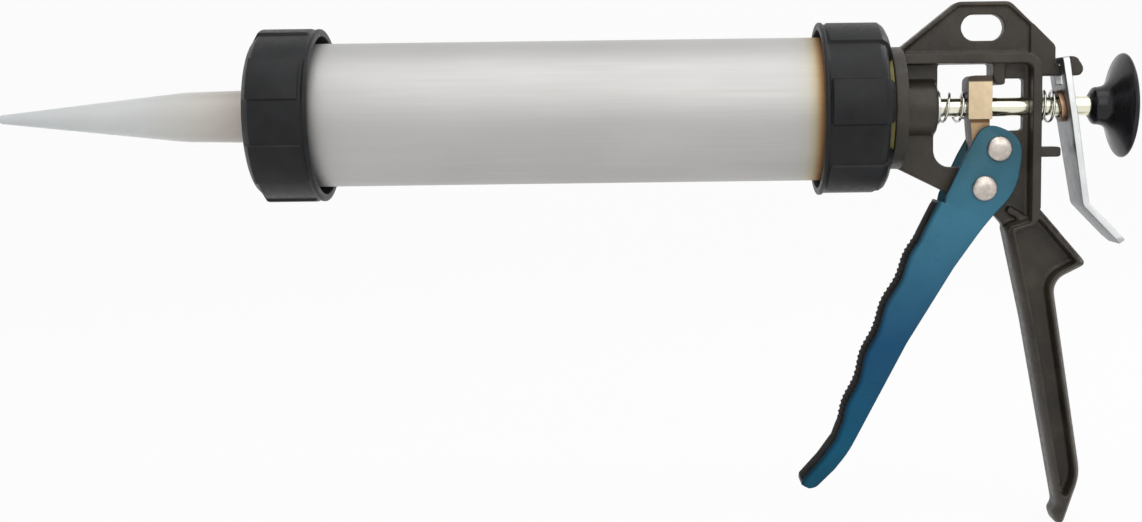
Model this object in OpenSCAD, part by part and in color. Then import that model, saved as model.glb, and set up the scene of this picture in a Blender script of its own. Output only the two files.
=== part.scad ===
// Caulking gun with a screwed barrel, a gripping drive and a quick-release plate.
// The origin is the centre of the nozzle's outlet. X runs along the rod to the knob, Z is up.
// The frame, trigger and release parts are drawn from a datum plane just behind the frame's flange.

/* [Barrel] */
// Outside diameter of the barrel tube
barrel_d = 52.4; // [50:0.2:56]
// Wall of the barrel tube
barrel_wall = 1.2; // [1:0.1:2]
// Length of the barrel tube
barrel_len = 215.2; // [170:0.2:300]
// Thickness of the plate that closes the barrel at the rear
end_plate_t = 2; // [1.5:0.1:3]

/* [Nozzle] */
// Distance from the outlet to the front ring nut
nozzle_len = 96.2; // [75:0.2:130]
// Diameter of the nozzle where it leaves the ring nut
nozzle_base_d = 19.4; // [17:0.1:24]
// Diameter of the nozzle at the end of its long taper
nozzle_knee_d = 18.2; // [15:0.1:18.8]
// Length of the nearly straight part next to the ring nut
nozzle_neck = 28; // [15:1:40]
// Wall of the nozzle
nozzle_wall = 1.6; // [1.2:0.1:2.4]
// Diameter of the outlet
outlet_d = 2.4; // [2:0.1:5]
// Length of the straight outlet
outlet_len = 4; // [2:0.5:10]
// Wall around the outlet
outlet_wall = 0.4; // [0.3:0.1:1]
// Thickness of the flange inside the ring nut
nozzle_flange_t = 2.4; // [1.8:0.1:3.5]
// Thickness of the gasket behind the flange
gasket_t = 1.5; // [1:0.1:3]

/* [Ring nuts] */
// Length of a ring nut
nut_len = 23.6; // [20:0.2:30]
// Wall of a ring nut around the barrel
nut_wall = 4.7; // [4:0.1:7]
// Height of the raised lands
land_h = 0.8; // [0.5:0.1:1.6]
// Number of raised lands
land_count = 6; // [3:1:9]
// Length of the raised rim at the open end
nut_rim_len = 1.5; // [1:0.1:2.5]
// Width of the groove between the rim and the lands
nut_groove = 1.2; // [0.8:0.1:3]
// Wall of the rim around its recess
nut_rim_wall = 2; // [1.5:0.1:3]
// Depth of the recess in the rim
nut_recess = 5; // [3:0.5:8]
// Opening in the front ring nut
nut_opening_d = 38; // [30:1:44]
// Thickness of the front ring nut's face
front_face_t = 3; // [2:0.1:4]
// Thickness of the rear ring nut's face
rear_face_t = 3.6; // [3:0.1:5]
// Radius of the front ring nut's outer corner
front_corner = 2.4; // [1:0.1:4]
// Turn of the front ring nut's lands above the near side
front_turn = 23.5; // [0:0.5:60]
// Turn of the rear ring nut's lands above the near side
rear_turn = 4.6; // [0:0.1:60]

/* [Swivel joint] */
// Diameter of the frame's spigot
spigot_d = 28; // [24:0.5:30]
// Diameter of the yellow swivel washer
washer_d = 44; // [40:0.1:44.5]
// Thickness of the swivel washer
washer_t = 2; // [1:0.1:3]
// Thickness of the circlip
circlip_t = 1.2; // [1:0.1:2]
// Height of the circlip above the spigot
circlip_h = 2.5; // [1.5:0.1:4]

/* [Rod and piston] */
// Diameter of the rod
rod_d = 7; // [6:0.1:8]
// Diameter of the rod's threaded end
rod_thread_d = 6; // [5:0.1:6]
// Length of the threaded end
rod_thread_len = 11.5; // [10.5:0.5:16]
// Distance from the front of the barrel to the piston cup
piston_gap = 2.5; // [1:0.5:20]
// Depth of the piston cup
cup_depth = 11; // [8:0.5:16]
// Wall of the piston cup
cup_wall = 3; // [2:0.1:4]
// Diameter of the piston plate
piston_plate_d = 40; // [30:1:46]
// Thickness of the piston plate
piston_plate_t = 2; // [1.5:0.1:3]
// Width across flats of the piston nut
piston_nut_w = 10; // [9:0.5:13]
// Height of the piston nut
piston_nut_h = 5; // [4:0.1:5.5]
// Diameter of the pull knob
knob_d = 38.4; // [30:0.2:42]
// Length of the pull knob
knob_len = 13.6; // [13:0.1:20]
// Diameter of the pull knob's stem
knob_stem_d = 14.2; // [12:0.1:18]
// Distance from the frame's datum to the knob
knob_x = 71.2; // [70:0.1:90]
// Depth of the rod in the knob
knob_socket = 9; // [6:0.5:11]

/* [Frame] */
// Diameter of the flange
flange_d = 44.8; // [44.2:0.1:45.2]
// Thickness of the flange
flange_t = 4.8; // [4:0.1:6]
// Distance from the flange's front face to the frame's datum
flange_lead = 3.3; // [3:0.1:3.6]
// Diameter of the boss behind the flange
boss_d = 21; // [18:0.5:24]
// Distance from the datum to the end of the boss
boss_x = 14.4; // [13:0.1:14.8]
// Thickness of the mid web
web_t = 5; // [4:0.1:5.5]
// Thickness of the loop's rim and of the rear arm
rim_t = 8; // [6.5:0.1:9]
// Width of the rim around the loop
loop_rim = 1.6; // [1:0.1:2.5]
// Height of the loop above the rod
loop_top = 38.4; // [37:0.1:46]
// Length of the hanging slot
slot_len = 15.8; // [12:0.1:18]
// Height of the hanging slot
slot_h = 9.6; // [7:0.1:10.4]
// Width of the rail and the rear wall
rail_w = 18; // [14:0.5:22]
// Thickness of the rail
rail_t = 3.7; // [3:0.1:4.4]
// Height of the rail's underside above the rod
rail_z = 15.9; // [15.4:0.1:16.3]
// Distance from the datum to the rear wall
wall_x = 48.6; // [48.2:0.1:49]
// Thickness of the rear wall
wall_t = 3.3; // [2.8:0.1:3.8]
// Width of the handle
handle_w = 17; // [14:0.5:22]
// Width of the rims around the handle's pocket
handle_rim = 3; // [2.6:0.1:3.4]
// Diameter of the boss around the pivot
pivot_boss_d = 12.8; // [10:0.1:13]
// Outside diameter of the rod's front bush
bush_d = 10; // [9.5:0.1:12]
// Diameter of the bush's rim
bush_rim_d = 13; // [12.6:0.1:15]
// Thickness of the bush's rim
bush_rim_t = 1.4; // [0.8:0.1:1.6]

/* [Trigger] */
// Outside width of the trigger channel
trigger_w = 16; // [15.8:0.1:17]
// Thickness of the trigger's sheet
trigger_sheet = 1.8; // [1.4:0.1:2.2]
// Lean of the trigger at rest, from vertical
trigger_lean = 23.5; // [22:0.5:26]
// Thickness of the grip pad
grip_t = 1; // [0.8:0.1:2.5]
// Depth of the finger waves
finger_depth = 1.4; // [0.6:0.1:2]
// Pitch of the finger waves
finger_pitch = 20.2; // [18:0.1:24]
// Height of the fine ribs on the grip pad
rib_h = 0.5; // [0.2:0.1:0.8]
// Pitch of the fine ribs
rib_pitch = 2; // [1.6:0.1:3]
// Diameter of the rivets' shanks
rivet_d = 6; // [5:0.1:6.5]
// Diameter of the rivets' heads
rivet_head_d = 9.4; // [8:0.1:11]
// Height of the rivets' heads
rivet_head_h = 2.2; // [1.6:0.1:3]
// Diameter of the drive rivet between the cheeks
drive_pin_d = 7; // [6.6:0.1:7]

/* [Drive block] */
// Distance from the datum to the drive block
block_x = 25.8; // [25.8:0.1:26.4]
// Thickness of the drive block along the rod
block_t = 8.7; // [8:0.1:8.7]
// Width of the drive block
block_w = 12; // [11:0.1:12.6]
// Height of the drive block above the rod
block_top = 11.5; // [9:0.1:12.4]
// Depth of the thick part below the rod
block_drop = 4.4; // [4.2:0.1:5.4]
// Width of the tongue between the cheeks
tongue_w = 11; // [9:0.1:11.4]
// Depth of the tongue's end below the rod
tongue_drop = 20; // [18:0.1:20.5]

/* [Release plate] */
// Thickness of the release plate
plate_t = 2.4; // [2:0.1:2.8]
// Width of the release plate at the top
plate_w = 21; // [19:0.5:24]
// Width of the release plate at the bend
plate_foot_w = 17; // [15:0.5:20]
// Lean of the release plate at rest
plate_lean = 9.2; // [8.8:0.1:9.6]
// Length from the notch to the bend
plate_len = 52.3; // [50:0.1:60]
// Length of the thumb tab
tab_len = 20; // [14:0.1:24]
// Bend of the thumb tab
tab_bend = 35; // [25:1:45]
// Outside diameter of the release washer
release_washer_d = 11.8; // [10.6:0.1:13]
// Thickness of the release washer
release_washer_t = 2; // [1.5:0.1:2.2]

/* [Springs] */
// Wire diameter of both springs
wire_d = 0.95; // [0.7:0.05:1.1]
// Outside diameter of the drive spring
drive_spring_d = 11.5; // [11:0.1:12.4]
// Outside diameter of the release spring
release_spring_d = 12.4; // [11:0.1:13]
// Turns of each spring
spring_turns = 3; // [2.5:0.5:3.5]

/* [Hidden] */
$fn = 96;

// Clearances: between faces of pieces that move, of a shaft in its bore, and of screwed joints
seat_gap = 0.3;
run_gap = 0.06;
thread_gap = 0.15;
// Gap of a pressed piece in its hole, and how far a cut runs past a face
press_gap = 0.01;
past = 1;

// Barrel stack along X
barrel_r = barrel_d / 2;
barrel_bore_r = barrel_r - barrel_wall;
flange_face_x = nozzle_len + front_face_t + seat_gap;
gasket_x = flange_face_x + nozzle_flange_t;
barrel_x = gasket_x + gasket_t + seat_gap;
barrel_end_x = barrel_x + barrel_len;
rear_face_x = barrel_end_x + end_plate_t;
rear_nut_end_x = rear_face_x + rear_face_t;
washer_x = rear_nut_end_x + seat_gap;
flange_x = washer_x + washer_t;
frame_x = flange_x + flange_lead;

// Ring nuts
nut_bore_r = barrel_r + thread_gap;
nut_r = barrel_r + nut_wall;
land_r = nut_r + land_h;
land_angle = 180 / land_count;

// Swivel joint
spigot_r = spigot_d / 2;
circlip_x = barrel_end_x - seat_gap - circlip_t;
circlip_seat_r = spigot_r - 1.2;
spigot_end_x = circlip_x - 1.5;

// Rod and piston
rod_r = rod_d / 2;
rod_bore_r = rod_r + run_gap;
piston_x = barrel_x + piston_gap;
cup_web_x = piston_x + cup_depth - cup_wall;
piston_plate_x = piston_x + cup_depth;
rod_shoulder_x = piston_plate_x + piston_plate_t;
rod_start_x = rod_shoulder_x - rod_thread_len;
piston_nut_x = cup_web_x - piston_nut_h;
rod_end_x = frame_x + knob_x + knob_socket;

// Frame, from its datum
flange_r = flange_d / 2;
rail_top = rail_z + rail_t;
wall_end_x = wall_x + wall_t;
arm_z = 11.1;
notch_floor = 14.8;
notch_x = 57.9;
notch_w = 5.2;

// Trigger and drive block
pivot = [31.5, -29.6];
drive_pin = [36.8, -15.2];
cheek_gap = trigger_w - 2 * trigger_sheet;
pivot_boss_w = cheek_gap - 2 * seat_gap;
drive_pin_r = drive_pin_d / 2;
lever_end = 126;
grip_top = 10.5;
cheek_notch = 9.6;
ribbed = [30, 105];
sheet_step = 1.75;

// Release plate: its notch, and the foot of the plate's slot
plate_pivot = [60.3, 15.9];
plate_gap = 0.5;
washer_centre = (plate_t + release_washer_t) / 2 * tan(plate_lean);
washer_tilt_x = release_washer_d / 2 * sin(plate_lean);

// Upper edge of the frame, from the flange over the loop and the notch to the underside of the hook
web_start = 0.6;
window_x = 15.2;
slot_x = 31.6;
slot_z = loop_top - 9.4;
loop_edge = [[web_start, flange_r - 1, 0], [22, loop_top, 4], [41.2, loop_top, 4], [notch_x, 22.3, 1],
    [notch_x, notch_floor, 0.6], [notch_x + notch_w, notch_floor, 0.6], [notch_x + notch_w, 18.4, 0.6],
    [66, 17.9, 2], [68.6, 13.6, 2], [67.2, arm_z, 1.4], [wall_end_x - past, arm_z, 0]];

// Outline of the handle from the spur round the toe to the top of its front edge: [x, z, corner radius]
spur = [[70.6, -58.2, 1.6], [57.8, -64.5, 6.5], [69.1, -137.5, 17]];
toe = [[62.8, -156.4, 2.4], [60, -156.4, 1.8], [58.4, -152, 1.6], [60.2, -149.3, 2.5]];
handle_front = [[47.2, -78.6, 180], [39.4, -43.2, 2.5]];
handle_top = [[48.2, -40.6, 0], [51.5, -36, 0]];

// Front face of the trigger's channel: depth in front of the pivot, by distance down the lever
lever_front = [[8, 12.8], [27, 13.7], [47, 14.1], [76, 13], [97, 11.5], [107, 11.1], [116, 13.3], [126, 16.9]];

function unit(v) = v / norm(v);
function reversed(list) = [for (i = [len(list) - 1:-1:0]) list[i]];
function cross2(a, b) = a.x * b.y - a.y * b.x;

// Arc points that round the corner q between the corners p and n with radius r
function corner(p, q, n, r) =
    let(u = unit(p - q), v = unit(n - q))
    let(half = acos(max(-1, min(1, u * v))) / 2)
    r <= 0 || half > 89.5 ? [q] :
    let(t = min(r / tan(half), 0.48 * norm(p - q), 0.48 * norm(n - q)))
    let(radius = t * tan(half))
    let(centre = q + unit(u + v) * radius / sin(half))
    let(from = q + u * t - centre, to = q + v * t - centre)
    let(start = atan2(from.y, from.x))
    let(turn = atan2(cross2(from, to), from * to))
    let(steps = max(2, ceil(abs(turn) / 12)))
    [for (i = [0:steps]) centre + radius * [cos(start + turn * i / steps), sin(start + turn * i / steps)]];

// Points of an outline that is given as corners [x, z, radius]
function rounded(c) =
    let(count = len(c))
    [for (i = [0:count - 1])
        let(p = c[(i + count - 1) % count], q = c[i], n = c[(i + 1) % count])
        each corner([p.x, p.y], [q.x, q.y], [n.x, n.y], q[2])];

// Corners of an outline moved inwards by d, for outlines that run clockwise
function inset(c, d) =
    let(count = len(c))
    [for (i = [0:count - 1])
        let(p = c[(i + count - 1) % count], q = c[i], n = c[(i + 1) % count])
        let(u = unit([q.x - p.x, q.y - p.y]), v = unit([n.x - q.x, n.y - q.y]))
        let(side_u = [u.y, -u.x], side_v = [v.y, -v.x])
        let(move = (side_u + side_v) / (1 + side_u * side_v) * d)
        let(outer = cross2(u, v) < 0)
        [q.x + move.x, q.y + move.y, q[2] > 0 ? max(0.3, q[2] + (outer ? -d : d)) : 0.6]];

// Upright plate from an outline in X and Z, centred on the mid-plane
module plate(c, width) {
    rotate([90, 0, 0])
        linear_extrude(width, center = true)
            polygon(rounded(c));
}

// Solid of revolution about the rod's axis from points [x, radius]
module turned(points, angle = 360) {
    rotate([0, 90, 0])
        rotate_extrude(angle = angle)
            polygon([for (p = points) [p[1], p[0]]]);
}

// Cylinder along X
module bar(x0, x1, r) {
    translate([x0, 0, 0])
        rotate([0, 90, 0])
            cylinder(h = x1 - x0, r = r);
}

// Tube along X
module ring(x0, x1, r_out, r_in) {
    difference() {
        bar(x0, x1, r_out);
        bar(x0 - past, x1 + past, r_in);
    }
}

// Cylinder across the gun, at a point in X and Z
module cross_pin(at, r, width) {
    translate([at.x, 0, at.y])
        rotate([90, 0, 0])
            cylinder(h = width, r = r, center = true);
}

module barrel_tube() {
    color("silver")
        ring(barrel_x, barrel_end_x, barrel_r, barrel_bore_r);
}

module barrel_end_plate() {
    color("gray")
        ring(barrel_end_x, rear_face_x, barrel_r, spigot_r + run_gap);
}

// Raised lands of a ring nut, given their profile in [x, radius]
module lands(profile, turn) {
    for (i = [0:land_count - 1])
        rotate([-turn - i * 360 / land_count, 0, 0])
            rotate([90 - land_angle / 2, 0, 0])
                turned(profile, land_angle);
}

// The front ring nut screws on the barrel and clamps the nozzle's flange and gasket
module front_ring_nut() {
    rim_x = nozzle_len + nut_len;
    land_x = rim_x - nut_rim_len - nut_groove;
    shoulder_x = nozzle_len + front_corner;
    color("#26272b")
        difference() {
            union() {
                turned([[nozzle_len, 0], [nozzle_len, nut_r - 3], [shoulder_x + 0.6, nut_r],
                    [rim_x - nut_rim_len - 0.4, nut_r], [rim_x - nut_rim_len, land_r],
                    [rim_x - 0.5, land_r], [rim_x, land_r - 0.5], [rim_x, 0]]);
                lands([[nozzle_len, nut_bore_r], [nozzle_len, nut_r - 3], [shoulder_x, land_r],
                    [land_x - land_h, land_r], [land_x, nut_r - past], [land_x, nut_bore_r]], front_turn);
            }
            bar(nozzle_len - past, rim_x + past, nut_opening_d / 2);
            bar(nozzle_len + front_face_t, rim_x + past, nut_bore_r);
            bar(rim_x - nut_recess, rim_x + past, nut_r - nut_rim_wall);
        }
}

// The rear ring nut holds the barrel to its end plate and turns with it on the frame's spigot
module rear_ring_nut() {
    rim_x = rear_nut_end_x - nut_len;
    land_x = rim_x + nut_rim_len + nut_groove;
    shoulder_x = rear_nut_end_x - 3.4;
    cover_r = flange_r + seat_gap;
    cover_x = flange_x - seat_gap;
    color("#26272b")
        difference() {
            union() {
                turned([[rim_x, 0], [rim_x, land_r - 0.5], [rim_x + 0.5, land_r], [rim_x + nut_rim_len, land_r],
                    [rim_x + nut_rim_len + 0.4, nut_r], [shoulder_x, nut_r], [shoulder_x + 2, nut_r - 1],
                    [shoulder_x + 3, nut_r - 2.4], [rear_nut_end_x, cover_r + 2], [rear_nut_end_x, 0]]);
                lands([[land_x - 0.6, nut_bore_r], [land_x - 0.6, nut_r - past], [land_x, land_r],
                    [shoulder_x + 1, land_r], [shoulder_x + 3, land_r - 1.4], [shoulder_x + 4.4, land_r - 3.8],
                    [cover_x, cover_r + 1.6], [cover_x, cover_r], [shoulder_x, cover_r]], rear_turn);
            }
            bar(rim_x - past, rear_face_x, nut_bore_r);
            bar(rim_x - past, rear_nut_end_x + past, spigot_r + seat_gap);
            bar(rim_x - past, rim_x + nut_recess, nut_r - nut_rim_wall);
        }
}

module nozzle() {
    knee_x = nozzle_len - nozzle_neck;
    base_r = nozzle_base_d / 2;
    knee_r = nozzle_knee_d / 2;
    tip_r = outlet_d / 2 + outlet_wall;
    color("whitesmoke")
        difference() {
            turned([[0, 0], [0, tip_r], [knee_x, knee_r], [nozzle_len, base_r],
                [flange_face_x - 1.5, base_r], [flange_face_x, base_r + 1.5],
                [flange_face_x, barrel_r - seat_gap], [gasket_x, barrel_r - seat_gap], [gasket_x, 0]]);
            bar(-past, outlet_len + past, outlet_d / 2);
            turned([[outlet_len, 0], [outlet_len, outlet_d / 2], [knee_x, knee_r - nozzle_wall],
                [gasket_x - 1, base_r - nozzle_wall], [gasket_x + past, base_r - nozzle_wall + 2],
                [gasket_x + past, 0]]);
        }
}

module nozzle_gasket() {
    color("dimgray")
        ring(gasket_x, gasket_x + gasket_t, barrel_r - seat_gap, barrel_bore_r - 3);
}

module swivel_washer() {
    color("#c8c02c")
        ring(washer_x, flange_x, washer_d / 2, spigot_r + press_gap);
}

module spigot_circlip() {
    color("dimgray")
        difference() {
            ring(circlip_x, circlip_x + circlip_t, spigot_r + circlip_h, circlip_seat_r + press_gap);
            translate([circlip_x - past, -2, 0])
                cube([circlip_t + 2 * past, 4, spigot_r + circlip_h + past]);
        }
}

module piston_rod() {
    color("#d9d3b4")
        union() {
            bar(rod_start_x, rod_shoulder_x, rod_thread_d / 2);
            bar(rod_shoulder_x, rod_end_x, rod_r);
        }
}

module piston_cup() {
    cup_r = barrel_bore_r - seat_gap;
    color("#3c3f44")
        difference() {
            bar(piston_x, piston_plate_x, cup_r);
            bar(piston_x - past, cup_web_x, cup_r - cup_wall);
            bar(cup_web_x - past, piston_plate_x + past, rod_thread_d / 2 + press_gap);
        }
}

module piston_plate() {
    color("gray")
        ring(piston_plate_x, rod_shoulder_x, piston_plate_d / 2, rod_thread_d / 2 + press_gap);
}

module piston_nut() {
    color("lightgray")
        difference() {
            translate([piston_nut_x, 0, 0])
                rotate([0, 90, 0])
                    cylinder(h = piston_nut_h, r = piston_nut_w / 2 / cos(30), $fn = 6);
            bar(piston_nut_x - past, cup_web_x + past, rod_thread_d / 2 + press_gap);
        }
}

module pull_knob() {
    stem_r = knob_stem_d / 2;
    rim_r = knob_d / 2;
    front = frame_x + knob_x;
    back = front + knob_len;
    color("#141418")
        difference() {
            turned(rounded([[front, 0, 0], [front, stem_r - 1.2, 0], [front + 1.2, stem_r, 0],
                [front + 6.4, stem_r, 5], [front + 9, rim_r - 4.8, 12], [back - 2, rim_r, 0.6], [back - 1, rim_r, 0.6],
                [back, rim_r - 3, 4], [back, 0, 0]]));
            bar(front - past, rod_end_x, rod_r + press_gap);
        }
}

// Mid web: hanging loop, rear arm with its notch and hook, window, lower web and the handle's core
module frame_web() {
    difference() {
        plate(concat(
            loop_edge, [[wall_end_x - past, -36, 0]], spur, toe, handle_front,
            [[36.9, -40.4, 1], [web_start, -22.3, 0]]), web_t);
        frame_window();
    }
}

// Opening for the drive block, the rod and the head of the trigger
module frame_window() {
    front = window_x;
    rear = wall_x - 1.8;
    plate([[front, rail_z, 0.8], [39, rail_z, 0.3], [39, 10.3, 0.8], [rear, 10.3, 1], [rear, -8.7, 1.5],
        [41.4, -8.7, 1], [41.4, -21.9, 3], [front - 1.4, -21.9, 7.4], [front - 1.4, -9, 4], [front, -7, 2]],
        web_t + past);
}

// Thicker rim round the hanging loop, and the thick rear arm that ends in the hook
module loop_rim() {
    difference() {
        plate(concat(loop_edge, [[wall_end_x - past, rail_z + 1, 0], [web_start, rail_z + 1, 0]]), rim_t);
        plate([[web_start + 2, rail_z, 0], [web_start + 2, loop_edge[0].y - loop_rim + 1.4, 0],
            [loop_edge[1].x + 0.6, loop_top - loop_rim, 3], [loop_edge[2].x - 0.7, loop_top - loop_rim, 3],
            [wall_x, loop_top - 8.8, 1], [wall_x, rail_z, 0]], rim_t + past);
    }
}

// Rail and rear wall as one bent ledge, and the web of the crotch at the wall's foot
module rail_and_wall() {
    plate([[web_start, rail_top, 0], [wall_end_x, rail_top, 6.3], [wall_end_x, -37, 0], [wall_end_x - 1, -40.6, 0],
        [wall_x, -42, 0], [wall_x, rail_z, 2.6], [web_start, rail_z, 0]], rail_w);
    plate([[40.4, -38.6, 0], [48.4, -43.4, 0], [48.4, -40.6, 0], [41.4, -36.4, 0]], web_t + 4);
}

// Broad rims of the handle round the pocket on each side
module handle_rims() {
    outline = concat(spur, toe, handle_front, handle_top);
    difference() {
        union() {
            plate(outline, handle_w - 9);
            plate(inset(outline, 0.3), handle_w - 6);
            plate(inset(outline, 0.9), handle_w - 3);
            plate(inset(outline, 1.8), handle_w);
        }
        plate(inset(concat(spur, [[65.4, -148, 3], [59.1, -148, 2]], handle_front, handle_top), handle_rim),
            handle_w + past);
    }
}

module frame_casting() {
    bush_bore_r = bush_d / 2 + press_gap;
    stop_x = block_x + block_t + seat_gap;
    color("#3a332e")
        translate([frame_x, 0, 0])
            difference() {
                union() {
                    frame_web();
                    loop_rim();
                    rail_and_wall();
                    handle_rims();
                    bar(-flange_lead, flange_t - flange_lead, flange_r);
                    turned([[-past, 0], [-past, boss_d / 2], [boss_x - 1, boss_d / 2], [boss_x, boss_d / 2 - 1],
                        [boss_x, 0]]);
                    bar(spigot_end_x - frame_x, past - flange_lead, spigot_r);
                    cross_pin(pivot, pivot_boss_d / 2, pivot_boss_w);
                    plate([[stop_x, rail_z + 1, 0], [stop_x + 4.4, rail_z + 1, 0], [stop_x + 4.4, 8, 1],
                        [stop_x + 1.4, 8, 1.2], [stop_x, 10.4, 1]], block_w);
                    plate([[wall_x, -14.8, 0], [60.1, -14.8, 0.8], [60.1, -18.5, 0.8], [wall_x, -18.5, 0]], 2 * web_t);
                }
                bar(spigot_end_x - frame_x - past, boss_x + past, bush_bore_r);
                bar(boss_x, boss_x + bush_rim_t + past, bush_rim_d / 2 + seat_gap);
                bar(wall_x - 2 * past, wall_end_x + past, rod_bore_r);
                cross_pin(pivot, rivet_d / 2 + run_gap, handle_w + past);
                ring(circlip_x - frame_x - seat_gap / 3, circlip_x - frame_x + circlip_t + seat_gap / 3,
                    spigot_r + past, circlip_seat_r);
                hang_slot();
            }
}

// Round-ended slot through the loop
module hang_slot() {
    for (end = [-1, 1])
        cross_pin([slot_x + end * (slot_len - slot_h) / 2, slot_z], slot_h / 2, rim_t + past);
    translate([slot_x, 0, slot_z])
        cube([slot_len - slot_h, rim_t + past, slot_h], center = true);
}

// Flanged sleeve in the boss that guides the rod
module front_rod_bush() {
    color("lightgray")
        translate([frame_x, 0, 0])
            difference() {
                union() {
                    bar(-flange_lead, boss_x, bush_d / 2);
                    bar(boss_x, boss_x + bush_rim_t, bush_rim_d / 2);
                }
                bar(-flange_lead - past, boss_x + bush_rim_t + past, rod_bore_r);
            }
}

// Places a piece of the trigger: Z runs up the lever from the pivot, X to the rear
module on_lever() {
    translate([frame_x + pivot.x, 0, pivot.y])
        rotate([0, trigger_lean, 0])
            children();
}

// Front of the channel at a distance down the lever, with the finger waves
function channel_front(down) =
    let(wave = down > 27 && down < 100 ? finger_depth / 2 * cos(360 * (down - 33) / finger_pitch) : 0)
    -lookup(down, lever_front) - wave;

// Points of the channel's front, from its lower end up to a distance down the lever, moved back by a depth
function front_points(top, depth = 0) =
    [for (down = [lever_end:-sheet_step:top]) [channel_front(down) + depth, -down, 0]];

// Cheek outline, with the waves between the notch and the kicked end
function cheek() = concat(
    [[-9.9, 22.9, 7.8], [5.8, 22.4, 9.5], [11.3, 4, 14], [5.8, -11, 20], [1.5, -31, 150], [-3.2, -63.5, 250],
     [-6.7, -109.2, 22], [-8.9, -117, 25], [-14.4, -128.2, 2.5]],
    front_points(grip_top + 1), [[channel_front(cheek_notch), -cheek_notch, 0.6], [-12, 1.2 - cheek_notch, 0.6]]);

module trigger_lever() {
    sheet = trigger_sheet;
    color("#1f5c80")
        difference() {
            on_lever()
                union() {
                    for (side = [-1, 1])
                        translate([0, side * (trigger_w - sheet) / 2, 0])
                            plate(cheek(), sheet);
                    plate(concat(front_points(grip_top), reversed(front_points(grip_top, sheet))), trigger_w);
                }
            translate([frame_x, 0, 0]) {
                cross_pin(pivot, rivet_d / 2 + press_gap, trigger_w + past);
                cross_pin(drive_pin, rivet_d / 2 + press_gap, trigger_w + past);
            }
        }
}

// Outline of the grip pad: its front stands a given depth proud of the channel, plus ribs where the fingers lie
function pad(proud, ribs) =
    let(step = rib_pitch / 2)
    concat(
        [for (i = [0:floor((lever_end - grip_top) / step)])
            let(down = grip_top + i * step)
            let(rib = down > ribbed[0] && down < ribbed[1] && i % 2 == 0 ? ribs : 0)
            [channel_front(down) - proud - rib, -down, 0]],
        front_points(grip_top));

// Pad on the front of the channel, lower at its two sides
module trigger_grip() {
    color("#2a2a2c")
        on_lever() {
            plate(pad(grip_t, rib_h), trigger_w - 6);
            plate(pad(grip_t * 0.7, rib_h * 0.8), trigger_w - 3);
            plate(pad(grip_t * 0.3, rib_h * 0.5), trigger_w);
        }
}

// Domed rivet head whose flat lies on the cheek
module rivet_head() {
    r = rivet_head_d / 2;
    dome_r = (r * r + rivet_head_h * rivet_head_h) / (2 * rivet_head_h);
    intersection() {
        translate([0, 0, rivet_head_h - dome_r])
            sphere(r = dome_r);
        cylinder(h = rivet_head_h + past, r = r);
    }
}

module rivet(at, middle_r) {
    color("#d8d0c8")
        translate([frame_x + at.x, 0, at.y]) {
            cross_pin([0, 0], rivet_d / 2, trigger_w);
            cross_pin([0, 0], middle_r, cheek_gap);
            for (side = [-1, 1])
                rotate([-90 * side, 0, 0])
                    translate([0, 0, trigger_w / 2])
                        rivet_head();
        }
}

module pivot_rivet() {
    rivet(pivot, rivet_d / 2);
}

module drive_rivet() {
    rivet(drive_pin, drive_pin_r);
}

// Thick block round the rod, with a tongue that hangs between the cheeks in front of the drive rivet
module drive_block() {
    rear = block_x + block_t;
    tongue_rear = drive_pin.x - drive_pin_r - seat_gap;
    color("#b3936a")
        translate([frame_x, 0, 0])
            difference() {
                union() {
                    plate([[block_x, -block_drop, 0.3], [block_x, block_top, 2.4], [rear, block_top, 0.6],
                        [rear, -block_drop, 0.3]], block_w);
                    plate([[block_x + 0.6, -block_drop + 2, 0], [rear - 0.8, -block_drop + 2, 0],
                        [rear - 0.8, -8, 2], [tongue_rear, -12, 2], [tongue_rear, -tongue_drop, 1],
                        [block_x + 2.2, -tongue_drop, 1]], tongue_w);
                }
                bar(block_x - past, rear + past, rod_bore_r + run_gap / 2);
            }
}

// Places a piece of the release plate: the plate hangs down -Z from its notch
module on_plate() {
    translate([frame_x + plate_pivot.x, 0, plate_pivot.y])
        rotate([0, -plate_lean, 0])
            children();
}

module release_plate() {
    half = plate_t / 2;
    lift = half * tan(tab_bend / 2);
    tab = [sin(tab_bend), -cos(tab_bend)];
    side = [cos(tab_bend), sin(tab_bend)];
    tip = [0, -plate_len] + tab_len * tab;
    top = 1.9;
    color("#b4b7ba")
        on_plate()
            difference() {
                intersection() {
                    plate([[-half, top, 0.4], [half, top, 0.4], [half, -plate_len + lift, 1.5],
                        [tip.x + half * side.x, tip.y + half * side.y, 0.4],
                        [tip.x - half * side.x, tip.y - half * side.y, 0.4],
                        [-half, -plate_len - lift, 1.5 + plate_t]], plate_w);
                    rotate([90, 0, 90])
                        linear_extrude(4 * tab_len, center = true)
                            polygon([[-plate_w / 2 + 1, top], [plate_w / 2 - 1, top], [plate_w / 2, top - 1],
                                [plate_w / 2, -20], [plate_foot_w / 2, -plate_len],
                                [plate_foot_w / 2, tip.y + 2], [plate_foot_w / 2 - 3, tip.y - past],
                                [3 - plate_foot_w / 2, tip.y - past], [-plate_foot_w / 2, tip.y + 2],
                                [-plate_foot_w / 2, -plate_len], [-plate_w / 2, -20], [-plate_w / 2, top - 1]]);
                }
                translate([-plate_t, -rim_t / 2 - seat_gap - 0.1, -8])
                    cube([2 * plate_t, rim_t + 2 * seat_gap + 0.2, 7.3]);
                translate([0, 0, -plate_pivot.y * (1 + 1 / cos(plate_lean)) / 2])
                    bar(-plate_t, plate_t, rod_r + plate_gap);
            }
}

// Washer between the release spring and the plate, which leans with the plate
module release_washer() {
    color("#8a5b3e")
        on_plate()
            translate([0, 0, washer_centre - plate_pivot.y / cos(plate_lean)])
                ring(-plate_t / 2 - release_washer_t, -plate_t / 2, release_washer_d / 2, rod_r + plate_gap);
}

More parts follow.
